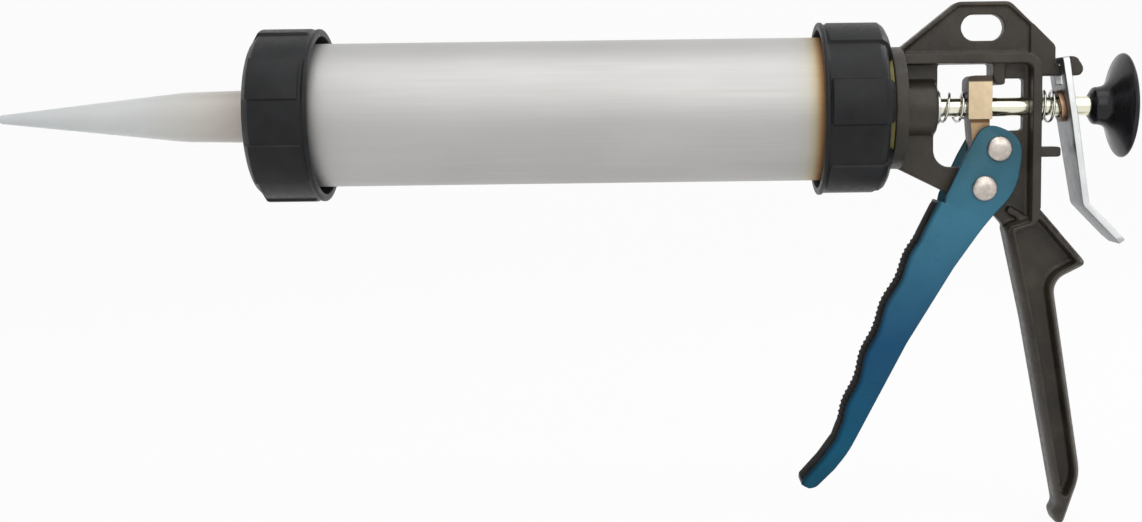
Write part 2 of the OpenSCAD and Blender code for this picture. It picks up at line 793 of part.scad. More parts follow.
// Points of one ring of a wire that is wound round the rod's axis
function wire_ring(x, a, coil_r) = [for (k = [0:7])
    let(out = coil_r + wire_d / 2 * cos(45 * k))
    [x + wire_d / 2 * sin(45 * k), out * sin(a), out * cos(a)]];

// Coil spring between two faces, round the rod
module coil(x0, x1, outer_d) {
    per_turn = 20;
    rings = ceil(spring_turns * per_turn);
    start = x0 + wire_d / 2;
    rise = x1 - x0 - wire_d;
    points = [for (i = [0:rings])
        each wire_ring(start + rise * i / rings, 360 * spring_turns * i / rings, outer_d / 2 - wire_d / 2)];
    faces = concat(
        [[for (k = [7:-1:0]) k]],
        [for (i = [0:rings - 1], k = [0:7])
            let(n = (k + 1) % 8)
            [8 * i + k, 8 * i + n, 8 * (i + 1) + n, 8 * (i + 1) + k]],
        [[for (k = [0:7]) 8 * rings + k]]);
    polyhedron(points, faces);
}

module drive_spring() {
    color("silver")
        translate([frame_x, 0, 0])
            coil(boss_x + bush_rim_t, block_x, drive_spring_d);
}

module release_spring() {
    color("silver")
        translate([frame_x, 0, 0])
            coil(wall_end_x, plate_pivot.x + plate_pivot.y * tan(plate_lean) - plate_t / 2 - release_washer_t
                - washer_tilt_x - seat_gap / 2, release_spring_d);
}

frame_casting();
front_rod_bush();
swivel_washer();
spigot_circlip();
barrel_tube();
rear_ring_nut();
barrel_end_plate();
nozzle();
nozzle_gasket();
front_ring_nut();
piston_rod();
pull_knob();
piston_cup();
piston_plate();
piston_nut();
trigger_lever();
trigger_grip();
pivot_rivet();
drive_rivet();
drive_block();
release_plate();
release_washer();
drive_spring();
release_spring();
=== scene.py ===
import math

import bmesh
import bpy
from mathutils import Matrix, Vector


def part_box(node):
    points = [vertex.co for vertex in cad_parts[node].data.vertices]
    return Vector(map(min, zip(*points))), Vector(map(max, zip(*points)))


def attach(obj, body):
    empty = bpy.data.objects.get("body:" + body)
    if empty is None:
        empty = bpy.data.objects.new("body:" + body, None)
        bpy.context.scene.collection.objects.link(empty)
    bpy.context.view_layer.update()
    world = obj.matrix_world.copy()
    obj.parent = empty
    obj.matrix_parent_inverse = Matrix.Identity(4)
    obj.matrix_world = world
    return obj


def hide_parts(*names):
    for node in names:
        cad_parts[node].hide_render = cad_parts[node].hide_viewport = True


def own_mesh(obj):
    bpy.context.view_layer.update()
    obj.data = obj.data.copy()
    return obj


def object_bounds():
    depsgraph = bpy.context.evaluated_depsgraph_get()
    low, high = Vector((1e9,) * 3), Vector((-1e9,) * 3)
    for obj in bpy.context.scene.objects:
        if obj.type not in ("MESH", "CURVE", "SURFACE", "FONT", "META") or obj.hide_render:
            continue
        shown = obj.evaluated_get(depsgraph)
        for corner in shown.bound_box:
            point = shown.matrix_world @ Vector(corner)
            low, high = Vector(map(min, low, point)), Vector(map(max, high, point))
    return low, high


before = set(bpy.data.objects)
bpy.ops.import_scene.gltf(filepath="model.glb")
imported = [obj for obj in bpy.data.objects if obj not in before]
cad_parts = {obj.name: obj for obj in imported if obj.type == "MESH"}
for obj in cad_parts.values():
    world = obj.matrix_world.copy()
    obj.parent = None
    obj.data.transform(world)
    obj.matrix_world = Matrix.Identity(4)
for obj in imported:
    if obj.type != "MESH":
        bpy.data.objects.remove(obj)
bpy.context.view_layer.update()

# ---------------------------------------------------------------------------
# Nozzle: a thin moulded cone of milky plastic with a flange, cut open at the tip.
# The front ring nut clamps its flange to the barrel over a rubber gasket.

MM = 0.001
nozzle_start, nozzle_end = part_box("nozzle")
tip_x = nozzle_start.x
knee_x = nozzle_end.x - 33.7 * MM
cone_end_x = nozzle_end.x - 5.7 * MM
flange_front_x = nozzle_end.x - 2.4 * MM
nozzle_flange_r = nozzle_end.z
outlet_r = 1.2 * MM


def turn(name, outline, sectors=128):
    """A turned piece: an outline of (x, radius) points, spun once round the rod's axis."""
    work = bmesh.new()
    around = [2 * math.pi * s / sectors for s in range(sectors)]
    hoops = []
    for x, radius in outline:
        if radius < 1e-6:
            hoops.append([work.verts.new((x, 0, 0))])
        else:
            hoops.append([work.verts.new((x, radius * math.sin(a), radius * math.cos(a))) for a in around])
    for a, b in zip(hoops, hoops[1:] + hoops[:1]):
        for s in range(sectors):
            t = (s + 1) % sectors
            corners = list(dict.fromkeys((a[s % len(a)], a[t % len(a)], b[t % len(b)], b[s % len(b)])))
            if len(corners) > 2:
                work.faces.new(corners)
    bmesh.ops.recalc_face_normals(work, faces=work.faces)
    return meshed(name, work)


def meshed(name, work, crease=32):
    """Puts a finished bmesh in the scene as a piece of its own."""
    mesh = bpy.data.meshes.new(name)
    work.to_mesh(mesh)
    work.free()
    return shown(name, mesh, crease)


def shown(name, mesh, crease=32):
    """Puts a mesh in the scene, smooth but for edges sharper than the crease angle."""
    for face in mesh.polygons:
        face.use_smooth = True
    mesh.set_sharp_from_angle(angle=math.radians(crease))
    piece = bpy.data.objects.new(name, mesh)
    bpy.context.scene.collection.objects.link(piece)
    return piece


def eased(outline, radius, steps=4):
    """Rounds each inner corner of an open outline with arcs of up to the radius."""
    points = [Vector(p) for p in outline]
    out = [tuple(points[0])]
    for before, at, after in zip(points, points[1:], points[2:]):
        u, v = (before - at), (after - at)
        reach = min(radius, 0.45 * u.length, 0.45 * v.length)
        if reach < 1e-6 or u.angle(v) > math.radians(172):
            out.append(tuple(at))
            continue
        p, q = at + u.normalized() * reach, at + v.normalized() * reach
        for k in range(steps + 1):
            f = k / steps
            out.append(tuple(p.lerp(at, f).lerp(at.lerp(q, f), f)))
    out.append(tuple(points[-1]))
    return out


def finish(name, metal, rough, colour):
    """A new material: its shader, its nodes and links, and the object's own coordinates in metres."""
    material = bpy.data.materials.new(name)
    material.use_nodes = True
    nodes, links = material.node_tree.nodes, material.node_tree.links
    shader = nodes["Principled BSDF"]
    shader.inputs["Metallic"].default_value = metal
    shader.inputs["Roughness"].default_value = rough
    shader.inputs["Base Color"].default_value = (*colour, 1)
    place = nodes.new("ShaderNodeTexCoord").outputs["Object"]
    return material, shader, nodes, links, place


def grain(nodes, links, place, size, stretch=(1, 1, 1), detail=4):
    """Noise of a given size in metres, which can be stretched along an axis."""
    mapping = nodes.new("ShaderNodeMapping")
    mapping.inputs["Scale"].default_value = tuple(1 / (size * s) for s in stretch)
    links.new(place, mapping.inputs["Vector"])
    noise = nodes.new("ShaderNodeTexNoise")
    noise.inputs["Scale"].default_value = 1
    noise.inputs["Detail"].default_value = detail
    links.new(mapping.outputs["Vector"], noise.inputs["Vector"])
    return noise.outputs["Fac"]


def ramp(nodes, links, value, stops):
    """Colours or greys at stops from 0 to 1 along a value."""
    node = nodes.new("ShaderNodeValToRGB")
    while len(node.color_ramp.elements) < len(stops):
        node.color_ramp.elements.new(0.5)
    for element, (at, colour) in zip(node.color_ramp.elements, stops):
        element.position = at
        element.color = (*colour, 1) if isinstance(colour, tuple) else (colour, colour, colour, 1)
    links.new(value, node.inputs["Fac"])
    return node.outputs["Color"]


def bump(nodes, links, shader, value, depth):
    """Relief of a given depth in metres."""
    node = nodes.new("ShaderNodeBump")
    node.inputs["Strength"].default_value = 1
    node.inputs["Distance"].default_value = depth
    links.new(value, node.inputs["Height"])
    links.new(node.outputs["Normal"], shader.inputs["Normal"])


def along(nodes, links, place, axis, start, end):
    """A value that runs from 0 to 1 between two places on an axis."""
    split = nodes.new("ShaderNodeSeparateXYZ")
    links.new(place, split.inputs["Vector"])
    span = nodes.new("ShaderNodeMapRange")
    span.inputs["From Min"].default_value = start
    span.inputs["From Max"].default_value = end
    links.new(split.outputs[axis], span.inputs["Value"])
    return span.outputs["Result"]


def facing(nodes, links, axis):
    """How squarely a face looks along an axis, from 0 to 1."""
    split = nodes.new("ShaderNodeSeparateXYZ")
    links.new(nodes.new("ShaderNodeTexCoord").outputs["Normal"], split.inputs["Vector"])
    size = nodes.new("ShaderNodeMath")
    size.operation = "ABSOLUTE"
    links.new(split.outputs[axis], size.inputs[0])
    return size.outputs["Value"]


def times(nodes, links, *colours):
    """Colours multiplied together."""
    out = colours[0]
    for colour in colours[1:]:
        mix = nodes.new("ShaderNodeMix")
        mix.data_type = "RGBA"
        mix.blend_type = "MULTIPLY"
        mix.inputs["Factor"].default_value = 1
        links.new(out, mix.inputs["A"])
        links.new(colour, mix.inputs["B"])
        out = mix.outputs["Result"]
    return out


def wear(obj, material):
    """Gives a piece its one material."""
    obj.data.materials.clear()
    obj.data.materials.append(material)


nozzle = turn("nozzle_moulding", eased([
    (tip_x, outlet_r), (tip_x, 1.6 * MM), (knee_x - 3 * MM, 8.77 * MM), (knee_x + 1.5 * MM, 9.13 * MM),
    (cone_end_x, 9.7 * MM), (flange_front_x - 1.5 * MM, 9.75 * MM), (flange_front_x, 11.2 * MM),
    (flange_front_x, nozzle_flange_r), (nozzle_end.x, nozzle_flange_r), (nozzle_end.x, 10.1 * MM),
    (nozzle_end.x - MM, 8.1 * MM), (knee_x, 7.5 * MM), (tip_x + 4 * MM, outlet_r), (tip_x, outlet_r)],
    0.9 * MM))
milky, shader, nodes, links, place = finish("milky_plastic", 0, 0.34, (0.8, 0.79, 0.75))
# Painted shade: the milky colour darkens and warms over the cone's last stretch towards the nut, standing
# in for the shade beside the nut.
shade = along(nodes, links, place, "X", tip_x, cone_end_x)
milky_tone_and_neck_shade = ramp(nodes, links, shade, [(0.0, (0.76, 0.78, 0.79)), (0.55, (0.76, 0.77, 0.76)),
                                  (0.8, (0.68, 0.65, 0.6)), (1.0, (0.64, 0.55, 0.5))])
cloud = ramp(nodes, links, grain(nodes, links, place, 0.012, (2.5, 1, 1)), [(0.3, 0.93), (0.7, 1.0)])
links.new(times(nodes, links, milky_tone_and_neck_shade, cloud), shader.inputs["Base Color"])
shader.inputs["Subsurface Weight"].default_value = 0.35
shader.inputs["Subsurface Radius"].default_value = (1, 0.85, 0.7)
shader.inputs["Subsurface Scale"].default_value = 0.003
shader.inputs["Coat Weight"].default_value = 0.15
shader.inputs["Coat Roughness"].default_value = 0.25
bump(nodes, links, shader, grain(nodes, links, place, 0.0016, (4, 1, 1)), 0.00006)
wear(nozzle, milky)
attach(nozzle, "nozzle")
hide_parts("nozzle")

# Gasket: a flat ring punched from black rubber sheet.
# The front nut presses it between the nozzle's flange and the barrel's end.


def plain_ring(name, low, high, hole_r, edge, sectors=128):
    """A ring or tube that fills its solid's box, with its corners broken by a small radius."""
    outline = [(low.x, hole_r), (low.x, high.z), (high.x, high.z), (high.x, hole_r), (low.x, hole_r)]
    return turn(name, eased(outline, edge), sectors)


low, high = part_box("nozzle_gasket")
gasket_bore_r = 22 * MM
gasket = plain_ring("flange_gasket", low, high, gasket_bore_r, 0.25 * MM)
rubber, shader, nodes, links, place = finish("black_rubber", 0, 0.75, (0.03, 0.03, 0.03))
bump(nodes, links, shader, grain(nodes, links, place, 0.0004), 0.00004)
wear(gasket, rubber)
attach(gasket, "nozzle")
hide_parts("nozzle_gasket")

# ---------------------------------------------------------------------------
# Barrel: a drawn aluminium tube with a satin anodised skin.
# Both its ends are threaded and hidden under the ring nuts.

low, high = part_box("barrel_tube")
barrel_r = high.z
barrel_wall = 1.2 * MM
bore_r = barrel_r - barrel_wall
barrel = plain_ring("barrel_tube_drawn", low, high, bore_r, 0.35 * MM, 192)
satin, shader, nodes, links, place = finish("satin_aluminium", 0.85, 0.44, (0.55, 0.55, 0.55))
streaks = grain(nodes, links, place, 0.0007, (60, 1, 1), 5)
cloud = grain(nodes, links, place, 0.03, (2, 1, 1), 3)
tone = ramp(nodes, links, cloud, [(0.3, (0.47, 0.463, 0.453)), (0.7, (0.51, 0.503, 0.493))])
# Painted shade: the tube darkens to a warm red-brown over its last 13 mm before the rear nut, standing in
# for the shade and dark reflection beside the nut.
near_nut = along(nodes, links, place, "X", 0.29, 0.303)
painted_nut_shadow = ramp(nodes, links, near_nut, [(0.0, (1, 1, 1)), (0.4, (1, 0.98, 0.9)), (0.62, (0.98, 0.86, 0.6)),
                                       (0.78, (0.85, 0.5, 0.24)), (1.0, (0.35, 0.14, 0.09))])
links.new(times(nodes, links, tone, painted_nut_shadow), shader.inputs["Base Color"])
links.new(ramp(nodes, links, streaks, [(0.3, 0.5), (0.7, 0.6)]), shader.inputs["Roughness"])
bump(nodes, links, shader, streaks, 0.000012)
wear(barrel, satin)
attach(barrel, "barrel")
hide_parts("barrel_tube")

# Barrel end plate: a ring pressed from steel sheet and zinc plated.
# It closes the rear of the barrel, under the rear nut, and turns on the frame's spigot.


def mottled(nodes, links, place, socket, size, low, high, detail=4):
    """Lets a value or a colour drift between two, in patches of a given size in metres."""
    patches = grain(nodes, links, place, size, detail=detail)
    links.new(ramp(nodes, links, patches, [(0.3, low), (0.7, high)]), socket)


zinc, shader, nodes, links, place = finish("zinc_plating", 1, 0.32, (0.6, 0.61, 0.62))
mottled(nodes, links, place, shader.inputs["Base Color"], 0.004, (0.5, 0.51, 0.53), (0.68, 0.68, 0.68))
mottled(nodes, links, place, shader.inputs["Roughness"], 0.0012, 0.26, 0.42)
low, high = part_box("barrel_end_plate")
end_bore_r = 14.06 * MM
end_plate = plain_ring("barrel_end_ring", low, high, end_bore_r, 0.3 * MM)
wear(end_plate, zinc)
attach(end_plate, "barrel")
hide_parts("barrel_end_plate")

# ---------------------------------------------------------------------------
# Ring nuts: moulded black plastic rings with six raised lands for the hand and a plain rim at the barrel.
# Each is screwed on one end of the barrel.

LANDS = 6


def ring_nut(name, plain, raised, angle, sectors=360, flank=1.0):
    """A nut whose outline changes from plain to raised on its lands, over flanks of some degrees."""
    work = bmesh.new()
    hoops = [[] for _ in plain]
    for s in range(sectors):
        a = 360 * s / sectors
        off = abs((a - angle + 180 / LANDS) % (360 / LANDS) - 180 / LANDS)
        rise = min(1, max(0, (90 / LANDS - off) / flank + 0.5))
        rise = rise * rise * (3 - 2 * rise)
        for hoop, low_point, high_point in zip(hoops, plain, raised):
            x = low_point[0] + (high_point[0] - low_point[0]) * rise
            r = low_point[1] + (high_point[1] - low_point[1]) * rise
            hoop.append(work.verts.new((x, -r * math.cos(math.radians(a)), r * math.sin(math.radians(a)))))
    for a, b in zip(hoops, hoops[1:] + hoops[:1]):
        for s in range(sectors):
            t = (s + 1) % sectors
            work.faces.new([a[s], a[t], b[t], b[s]])
    bmesh.ops.recalc_face_normals(work, faces=work.faces)
    return meshed(name, work, 38)


def round_nut(points, radius=0.35 * MM):
    """Closes a nut's outline with the same number of points for its plain and its raised form."""
    out = []
    for i, at in enumerate(points):
        before, after = Vector(points[i - 1]), Vector(points[(i + 1) % len(points)])
        at = Vector(at)
        u, v = before - at, after - at
        p = at + u.normalized() * min(radius, 0.4 * u.length) if u.length > 1e-7 else at
        q = at + v.normalized() * min(radius, 0.4 * v.length) if v.length > 1e-7 else at
        out += [tuple(p), tuple(p.lerp(at, 0.5).lerp(at.lerp(q, 0.5), 0.5)), tuple(q)]
    return out


black, shader, nodes, links, place = finish("moulded_black", 0, 0.42, (0.018, 0.019, 0.021))
mottled(nodes, links, place, shader.inputs["Base Color"], 0.006,
        (0.006, 0.0063, 0.007), (0.012, 0.0125, 0.014))
mottled(nodes, links, place, shader.inputs["Roughness"], 0.0015, 0.36, 0.5)
shader.inputs["Specular IOR Level"].default_value = 0.24
bump(nodes, links, shader, grain(nodes, links, place, 0.0005, detail=2), 0.00003)

low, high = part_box("front_ring_nut")
land_r = high.z
body_r = land_r - 0.8 * MM
brim_r = land_r - 0.1 * MM
brim_bore_r = land_r - 2.8 * MM
thread_r = barrel_r + 0.15 * MM
nozzle_hole_r = 19 * MM
x0, x1 = low.x, high.x
brim = [(x1 - 1.9 * MM, body_r), (x1 - 1.5 * MM, brim_r), (x1 - 0.4 * MM, brim_r), (x1, land_r - 0.6 * MM)]
bore = [(x1, brim_bore_r), (x1 - 5 * MM, brim_bore_r), (x1 - 5 * MM, thread_r), (x0 + 3 * MM, thread_r),
        (x0 + 3 * MM, nozzle_hole_r), (x0, nozzle_hole_r)]
plain = [(x0, body_r - 3 * MM), (x0 + 3 * MM, body_r), (x1 - 3.5 * MM, body_r),
         (x1 - 2.6 * MM, body_r)] + brim + bore
raised = [(x0, body_r - 3 * MM), (x0 + 2.4 * MM, land_r), (x1 - 3.5 * MM, land_r),
          (x1 - 2.7 * MM, body_r + 0.05 * MM)] + brim + bore
front_nut = ring_nut("front_nut_moulding", round_nut(plain), round_nut(raised), 25.5)
wear(front_nut, black)
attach(front_nut, "front_ring_nut")
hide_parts("front_ring_nut")

low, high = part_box("rear_ring_nut")
x0, x1 = low.x, high.x - 2 * MM
mouth_r = 22.7 * MM
spigot_hole_r = 14.3 * MM
brim = [(x0, land_r - 0.6 * MM), (x0 + 0.4 * MM, brim_r), (x0 + 1.5 * MM, brim_r), (x0 + 1.9 * MM, body_r)]
bore = [(x1, mouth_r), (x1, spigot_hole_r), (x1 - 3.6 * MM, spigot_hole_r), (x1 - 3.6 * MM, thread_r),
        (x0 + 5 * MM, thread_r), (x0 + 5 * MM, brim_bore_r), (x0, brim_bore_r)]
plain = brim + [(x0 + 2.6 * MM, body_r), (x0 + 3 * MM, body_r), (x1 - 3.4 * MM, body_r),
                (x1 - 1.4 * MM, body_r - MM), (x1 - 0.4 * MM, body_r - 2.4 * MM), (x1, 24.7 * MM)] + bore
raised = brim + [(x0 + 2.2 * MM, body_r), (x0 + 2.8 * MM, land_r), (x1 - 2.4 * MM, land_r),
                 (x1 - 0.4 * MM, land_r - 1.4 * MM), (x1 + MM, land_r - 3.8 * MM), (high.x, 24.3 * MM),
                 (high.x, mouth_r)] + bore[1:]
rear_nut = ring_nut("rear_nut_moulding", round_nut(plain), round_nut(raised), 4.6)
wear(rear_nut, black)
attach(rear_nut, "barrel")
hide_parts("rear_ring_nut")

# ---------------------------------------------------------------------------
# Swivel washer: a moulded ring of yellow nylon on the frame's spigot.
# It keeps the rear nut off the frame's flange when the barrel turns.

low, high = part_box("swivel_washer")
washer_bore_r = 14.01 * MM
washer = plain_ring("swivel_ring", low, high, washer_bore_r, 0.4 * MM)
nylon, shader, nodes, links, place = finish("yellow_nylon", 0, 0.45, (0.5, 0.46, 0.07))
# Painted shade: the yellow is darkened to a dark olive, standing in for the shade the ring lies in behind
# the rear nut's lands.
mottled(nodes, links, place, shader.inputs["Base Color"], 0.003, (0.1, 0.09, 0.012), (0.17, 0.15, 0.02))
wear(washer, nylon)
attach(washer, "frame")
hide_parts("swivel_washer")

# ---------------------------------------------------------------------------
# Frame: one zinc die casting with flange, boss, hanging loop, rail, rear wall, hook and handle.
# It has a black-brown powder coat, and the soft edges and inner corners of a casting under a coat.


def melted(name, node, voxel, passes, keep, soft_below, soft_passes=14):
    """A copy of a solid, remeshed and smoothed to a casting's soft corners, softest below a height."""
    piece = bpy.data.objects.new(name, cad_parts[node].data.copy())
    bpy.context.scene.collection.objects.link(piece)
    remesh = piece.modifiers.new("Remesh", "REMESH")
    remesh.mode = "VOXEL"
    remesh.voxel_size = voxel
    smooth = piece.modifiers.new("Smooth", "SMOOTH")
    smooth.factor = 0.5
    smooth.iterations = passes
    piece = settled(piece)
    group = piece.vertex_groups.new(name="handle")
    group.add([v.index for v in piece.data.vertices if v.co.z < soft_below], 1, "REPLACE")
    extra = piece.modifiers.new("Soft", "SMOOTH")
    extra.vertex_group = "handle"
    extra.factor = 0.5
    extra.iterations = soft_passes
    thin = piece.modifiers.new("Decimate", "DECIMATE")
    thin.ratio = keep
    return settled(piece)


def settled(piece, crease=180):
    """Applies a piece's modifiers and shades it smooth."""
    ready = piece.evaluated_get(bpy.context.evaluated_depsgraph_get())
    mesh = bpy.data.meshes.new_from_object(ready)
    name = piece.name
    bpy.data.objects.remove(piece)
    return shown(name, mesh, crease)


casting = melted("frame_cast", "frame_casting", 0.5 * MM, 3, 0.35, soft_below=-46 * MM)
coat, shader, nodes, links, place = finish("powder_coat", 0, 0.42, (0.05, 0.043, 0.038))
patches = grain(nodes, links, place, 0.014, detail=5)
brown = ramp(nodes, links, patches, [
    (0.32, (0.028, 0.023, 0.017)), (0.55, (0.044, 0.036, 0.027)), (0.72, (0.066, 0.053, 0.038))])
links.new(brown, shader.inputs["Base Color"])
mottled(nodes, links, place, shader.inputs["Roughness"], 0.002, 0.34, 0.52)
shader.inputs["Specular IOR Level"].default_value = 0.36
bump(nodes, links, shader, grain(nodes, links, place, 0.0007, detail=3), 0.00004)
wear(casting, coat)
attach(casting, "frame")
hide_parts("frame_casting")

# Rod bush: a short turned sleeve of zinc-plated steel with a small rim.
# It is pressed into the boss, and the push rod slides in it.

low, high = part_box("front_rod_bush")
rod_bore_r = 3.56 * MM
sleeve_r = 5 * MM
rim_x = high.x - 1.4 * MM
sleeve = turn("rod_sleeve", eased([
    (low.x, rod_bore_r), (low.x, sleeve_r), (rim_x, sleeve_r), (rim_x, high.z), (high.x, high.z),
    (high.x, rod_bore_r), (low.x, rod_bore_r)], 0.3 * MM), 96)
wear(sleeve, zinc)
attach(sleeve, "frame")
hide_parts("front_rod_bush")

# Circlip: a split ring stamped from dark spring steel.
# It snaps into the spigot's groove, inside the barrel, and keeps the end plate on.


def softened(name, node, edge, crease=30):
    """A copy of a machined or pressed solid with its sharp edges broken by a small radius."""
    work = bmesh.new()
    work.from_mesh(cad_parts[node].data)
    bmesh.ops.remove_doubles(work, verts=work.verts, dist=1e-6)
    bmesh.ops.dissolve_limit(work, angle_limit=math.radians(1), verts=work.verts, edges=work.edges)
    mesh = bpy.data.meshes.new(name)
    work.to_mesh(mesh)
    work.free()
    piece = bpy.data.objects.new(name, mesh)
    bpy.context.scene.collection.objects.link(piece)
    bevel = piece.modifiers.new("Bevel", "BEVEL")
    bevel.width = edge
    bevel.segments = 3
    bevel.limit_method = "ANGLE"
    bevel.angle_limit = math.radians(crease)
    bevel.use_clamp_overlap = True
    return settled(piece, crease)


clip = softened("spigot_clip", "spigot_circlip", 0.12 * MM)
spring_steel, shader, nodes, links, place = finish("dark_spring_steel", 1, 0.35, (0.2, 0.2, 0.21))
mottled(nodes, links, place, shader.inputs["Base Color"], 0.002, (0.14, 0.14, 0.15), (0.24, 0.24, 0.25))
wear(clip, spring_steel)
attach(clip, "frame")
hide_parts("spigot_circlip")

# ---------------------------------------------------------------------------
# Push rod: bright drawn steel, 7 mm thick.
# Its front end is threaded for the piston's nut, and its rear end is pressed into the knob.

low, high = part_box("piston_rod")
rod_r = high.z
thread_root_r, thread_top_r = 2.75 * MM, 3 * MM
shoulder_x = low.x + 11.5 * MM
thread = []
x = low.x + 0.5 * MM
while x < low.x + 11 * MM:
    thread += [(x, thread_root_r), (x + 0.5 * MM, thread_top_r)]
    x += MM
rod = turn("push_rod", [(low.x, 0), (low.x, 2.5 * MM)] + thread + [
    (shoulder_x, thread_top_r), (shoulder_x, rod_r - 0.3 * MM), (low.x + 11.8 * MM, rod_r),
    (high.x - 0.3 * MM, rod_r), (high.x, rod_r - 0.3 * MM), (high.x, 0)], 96)
bright, shader, nodes, links, place = finish("bright_steel", 1, 0.16, (0.82, 0.8, 0.72))
draw = grain(nodes, links, place, 0.0004, (60, 1, 1), 4)
tone = ramp(nodes, links, draw, [(0.3, (0.74, 0.72, 0.56)), (0.7, (0.86, 0.84, 0.68))])
links.new(tone, shader.inputs["Base Color"])
links.new(ramp(nodes, links, draw, [(0.3, 0.12), (0.7, 0.24)]), shader.inputs["Roughness"])
bump(nodes, links, shader, draw, 0.000008)
wear(rod, bright)
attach(rod, "rod")
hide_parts("piston_rod")

# Pull knob: a disc with a waisted stem, moulded in glossy black plastic.
# It is fixed on the rod's rear end, for the hand that draws the rod back.

low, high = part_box("pull_knob")
front, back, rim = low.x, high.x, high.z
knob = turn("knob_moulding", eased([
    (front, rod_r), (front, 4.2 * MM), (front + 1.6 * MM, 6.85 * MM), (front + 3.6 * MM, 6.95 * MM),
    (front + 5.6 * MM, 7.5 * MM), (front + 7 * MM, 8.9 * MM), (front + 8.2 * MM, 11.2 * MM),
    (front + 9.6 * MM, 14.6 * MM), (front + 10.8 * MM, 17.4 * MM), (front + 11.5 * MM, rim - 0.5 * MM),
    (front + 12.2 * MM, rim), (back - 0.8 * MM, rim - 0.1 * MM), (back - 0.3 * MM, rim - 1.2 * MM),
    (back, rim - 3.4 * MM), (back, 0)], 1.2 * MM, 5), 160)
gloss, shader, nodes, links, place = finish("glossy_black", 0, 0.2, (0.006, 0.006, 0.007))
mottled(nodes, links, place, shader.inputs["Roughness"], 0.005, 0.16, 0.3)
mottled(nodes, links, place, shader.inputs["Base Color"], 0.008,
        (0.005, 0.005, 0.006), (0.009, 0.009, 0.011))
shader.inputs["Specular IOR Level"].default_value = 0.35
bump(nodes, links, shader, grain(nodes, links, place, 0.0022, detail=2), 0.00002)
wear(knob, gloss)
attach(knob, "rod")
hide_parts("pull_knob")

# Piston: a cup of dark moulded plastic that sweeps the barrel, backed by a disc of zinc-plated steel.
# A nut on the rod's thread clamps both against the rod's shoulder.

low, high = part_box("piston_cup")
piston_bore_r = 3.01 * MM
cup_floor_x = high.x - 3 * MM
cup = turn("piston_cup_moulding", eased([
    (cup_floor_x, piston_bore_r), (cup_floor_x, high.z - 3.4 * MM), (low.x + 0.6 * MM, high.z - 1.6 * MM),
    (low.x, high.z - 0.8 * MM), (low.x, high.z), (low.x + 2.5 * MM, high.z - 0.2 * MM),
    (high.x - MM, high.z), (high.x, high.z - MM), (high.x, piston_bore_r), (cup_floor_x, piston_bore_r)],
    0.5 * MM))
dark, shader, nodes, links, place = finish("dark_piston_plastic", 0, 0.5, (0.045, 0.048, 0.053))
mottled(nodes, links, place, shader.inputs["Base Color"], 0.005,
        (0.036, 0.038, 0.042), (0.055, 0.058, 0.064))
bump(nodes, links, shader, grain(nodes, links, place, 0.0006), 0.00003)
wear(cup, dark)
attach(cup, "rod")
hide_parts("piston_cup")

low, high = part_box("piston_plate")
backing = plain_ring("piston_backing", low, high, piston_bore_r, 0.5 * MM)
wear(backing, zinc)
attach(backing, "rod")
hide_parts("piston_plate")

nut = softened("piston_hex_nut", "piston_nut", 0.25 * MM)
wear(nut, zinc)
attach(nut, "rod")
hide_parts("piston_nut")

# ---------------------------------------------------------------------------
# Trigger: a channel pressed from steel sheet, with its two cheeks astride the casting.
# It is coated with smooth blue enamel and turns on a rivet through the frame.

low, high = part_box("pivot_rivet")
lever_pivot = (low + high) / 2
lean = math.radians(23.5)
half_w = 8 * MM
sheet = 1.8 * MM
bend_r = 2.2 * MM
rim_r = 0.35 * MM
channel_top = 10.5
finger_pitch, finger_depth, first_finger = 20.2, 0.55, 33
fingers_from, fingers_to, finger_fade = 24, 103, 6
# The cheeks' corners in millimetres from the pivot: to the rear, and up along the lever.
lever_edge = eased([
    (-9.9, 22.6), (5.8, 22.6), (11.3, 4), (5.8, -11), (1.5, -31), (-3.2, -63.5), (-6.7, -109.2),
    (-8.9, -117.4), (-12.6, -126.4), (-15, -127.9), (-17, -127.7), (-11, -11), (-11.8, -8), (-11.3, 8),
    (-9.9, 22.6), (5.8, 22.6)], 8.6, 8)[1:-1]
# The channel's front: how far down from the pivot, and how far forward of it.
front_line = (
    (8, 13.1), (27, 14.2), (47, 15.1), (62, 15.2), (76, 14.6), (97, 13.3), (107, 12.7), (116, 14.7),
    (126, 18.1), (128, 17.6))


def edge_at(down, rear):
    """How far to the rear or to the front the cheeks reach, at a distance down from the pivot."""
    found = []
    for (x0, z0), (x1, z1) in zip(lever_edge, lever_edge[1:]):
        if min(z0, z1) <= -down <= max(z0, z1) and abs(z1 - z0) > 1e-9:
            found.append(x0 + (x1 - x0) * (-down - z0) / (z1 - z0))
    return max(found) if rear else min(found)


def channel_at(down):
    """The front of the channel at a distance down from the pivot, with the hollows for four fingers."""
    for (d0, x0), (d1, x1) in zip(front_line, front_line[1:]):
        if down <= d1:
            break
    f = (down - d0) / (d1 - d0)
    fade = min(1, max(0, (down - fingers_from) / finger_fade))
    fade *= min(1, max(0, (fingers_to - down) / finger_fade))
    wave = math.cos(2 * math.pi * (down - first_finger) / finger_pitch)
    return -(x0 + (x1 - x0) * f) - finger_depth * fade * wave


def on_lever(x, y, down):
    """A point of the lever, given in millimetres along it, placed in the part."""
    return (lever_pivot.x + (x * math.cos(lean) - down * math.sin(lean)) * MM, y,
            lever_pivot.z - (x * math.sin(lean) + down * math.cos(lean)) * MM)


